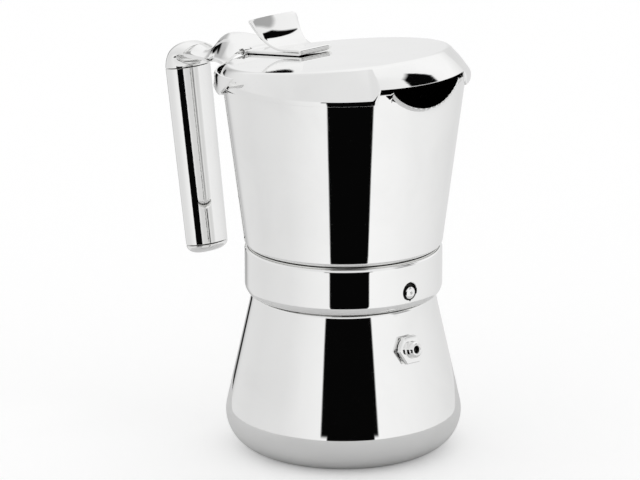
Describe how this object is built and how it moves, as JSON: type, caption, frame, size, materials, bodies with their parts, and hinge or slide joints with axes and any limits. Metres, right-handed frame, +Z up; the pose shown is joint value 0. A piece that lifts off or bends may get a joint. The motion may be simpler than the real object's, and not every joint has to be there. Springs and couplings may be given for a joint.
{
  "type": "stovetop moka pot",
  "caption": "Stovetop moka pot: boiler with safety valve, coffee basket, bayonet-locked jug with pouring notch, hinged lid with thumb lever and side handle.",
  "frame": {"origin": "centre of the boiler's flat base, on the pot's axis", "axes": "+Z up along the pot's axis, +X towards the pouring notch, the handle at -X"},
  "size_m": [0.1727, 0.115, 0.1959],
  "materials": {
    "polished_steel": "mirror-polished stainless steel",
    "satin_steel": "satin pressed steel",
    "spring_steel": "drawn spring wire",
    "seal_silicone": "translucent white silicone"
  },
  "bodies": {
    "boiler": {"boiler_shell": "polished_steel", "lug_ring": "satin_steel", "valve_body": "polished_steel", "valve_washer": "polished_steel", "valve_nut": "satin_steel", "valve_spring": "spring_steel"},
    "plunger": {"valve_plunger": "satin_steel"},
    "basket": {"basket_cup": "satin_steel", "basket_sieve": "satin_steel", "funnel_stem": "satin_steel"},
    "seal": {"gasket": "seal_silicone", "filter_plate": "satin_steel"},
    "jug": {"seat_ring": "satin_steel", "collar": "polished_steel", "lock_pin_bush": "satin_steel", "lock_pin_spring": "spring_steel", "jug_shell": "polished_steel", "column": "satin_steel", "column_cap": "satin_steel", "bridge": "polished_steel", "hinge_pin": "satin_steel", "handle_grip": "polished_steel", "handle_cap": "polished_steel", "handle_elbow": "polished_steel"},
    "pin": {"lock_pin": "polished_steel"},
    "lid": {"lid_shell": "polished_steel", "lid_lever": "polished_steel"}
  },
  "joints": [
    {"name": "jug_lift", "type": "slide", "parent": "boiler", "child": "seal", "axis": [0, 0, 1], "range_m": [0, 0.12]},
    {"name": "jug_turn", "type": "hinge", "parent": "seal", "child": "jug", "pos_m": [0, 0, 0.09], "axis": [0, 0, 1], "range_deg": [0, 40]},
    {"name": "lid_hinge", "type": "hinge", "parent": "jug", "child": "lid", "pos_m": [-0.057, 0, 0.1788], "axis": [0, -1, 0], "range_deg": [0, 96]},
    {"name": "basket_lift", "type": "slide", "parent": "boiler", "child": "basket", "axis": [0, 0, 1], "range_m": [0, 0.06]},
    {"name": "lock_pin_push", "type": "slide", "parent": "jug", "child": "pin", "axis": [-0.9996, 0.0279, 0], "range_m": [0, 0.0007], "stiffness_N_per_m": 150, "springref_m": -0.002, "deforming": ["lock_pin_spring"]},
    {"name": "valve_pop", "type": "slide", "parent": "boiler", "child": "plunger", "axis": [0.9712, -0.0969, 0.2177], "range_m": [0, 0.001], "stiffness_N_per_m": 300, "springref_m": -0.003, "deforming": ["valve_spring"]}
  ],
  "couplings": [
    {"joint": "basket_lift", "follows": "jug_lift", "ratio": 0.5}
  ]
}
